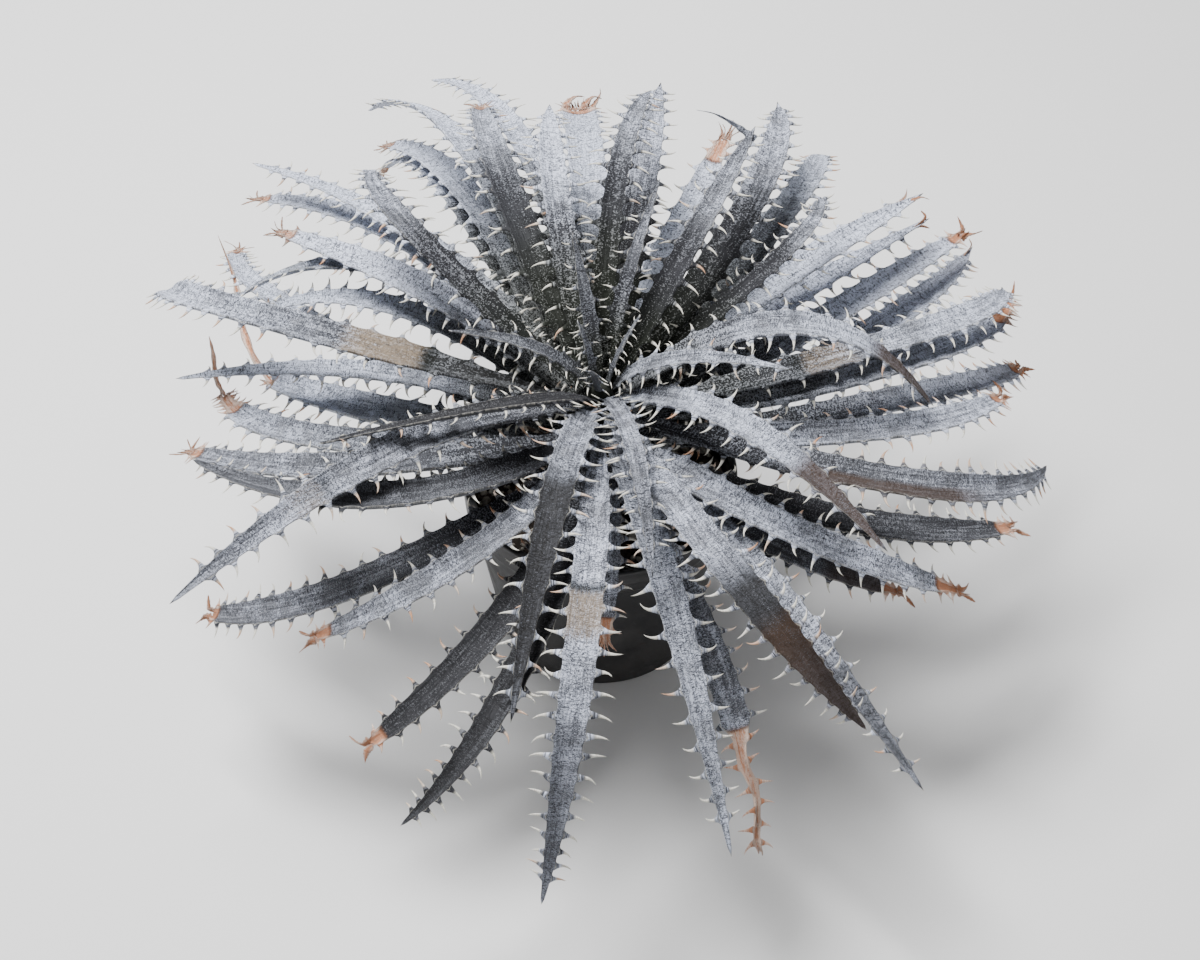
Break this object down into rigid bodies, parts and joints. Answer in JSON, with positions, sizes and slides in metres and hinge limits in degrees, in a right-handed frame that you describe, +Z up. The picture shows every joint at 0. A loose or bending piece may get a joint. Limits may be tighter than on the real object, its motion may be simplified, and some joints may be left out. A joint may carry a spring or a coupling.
{
  "type": "dyckia bromeliad",
  "caption": "Silver-grey rosette of stiff, arching, channelled leaves with hooked marginal spines, on a short stem in a plain dark nursery pot of soil.",
  "frame": {"origin": "centre of the pot's underside, on the surface that it stands on", "axes": "+Z up, along the pot's axis; -Y is the side that the picture was taken from, +X to its right"},
  "size_m": [0.3905, 0.41, 0.2048],
  "materials": {
    "leaf": "living leaf with a matt coat of silver-grey scales, cream spines and dry tan ends",
    "stem": "rough, dry and fibrous, with olive young leaves at its tip",
    "soil": "loose dark potting mix with grit",
    "pot": "black nursery pot, satin"
  },
  "bodies": {
    "root": {"pot": "pot", "soil": "soil", "stem": "stem", "leaf_01": "leaf", "leaf_02": "leaf", "leaf_03": "leaf", "leaf_04": "leaf", "leaf_05": "leaf", "leaf_06": "leaf", "leaf_07": "leaf", "leaf_08": "leaf", "leaf_09": "leaf", "leaf_10": "leaf", "leaf_11": "leaf", "leaf_12": "leaf", "leaf_13": "leaf", "leaf_14": "leaf", "leaf_15": "leaf", "leaf_16": "leaf", "leaf_17": "leaf", "leaf_18": "leaf", "leaf_19": "leaf", "leaf_20": "leaf", "leaf_21": "leaf", "leaf_22": "leaf", "leaf_23": "leaf", "leaf_24": "leaf", "leaf_25": "leaf", "leaf_26": "leaf", "leaf_27": "leaf", "leaf_28": "leaf", "leaf_29": "leaf", "leaf_30": "leaf", "leaf_31": "leaf", "leaf_32": "leaf", "leaf_33": "leaf", "leaf_34": "leaf", "leaf_35": "leaf", "leaf_36": "leaf", "leaf_37": "leaf", "leaf_38": "leaf", "leaf_39": "leaf", "leaf_40": "leaf", "leaf_41": "leaf", "leaf_42": "leaf", "leaf_43": "leaf", "leaf_44": "leaf", "leaf_45": "leaf", "leaf_46": "leaf", "leaf_47": "leaf", "leaf_48": "leaf", "leaf_49": "leaf", "leaf_50": "leaf", "leaf_51": "leaf", "leaf_52": "leaf", "leaf_53": "leaf", "leaf_54": "leaf", "leaf_55": "leaf", "leaf_56": "leaf", "leaf_57": "leaf"}
  },
  "joints": []
}
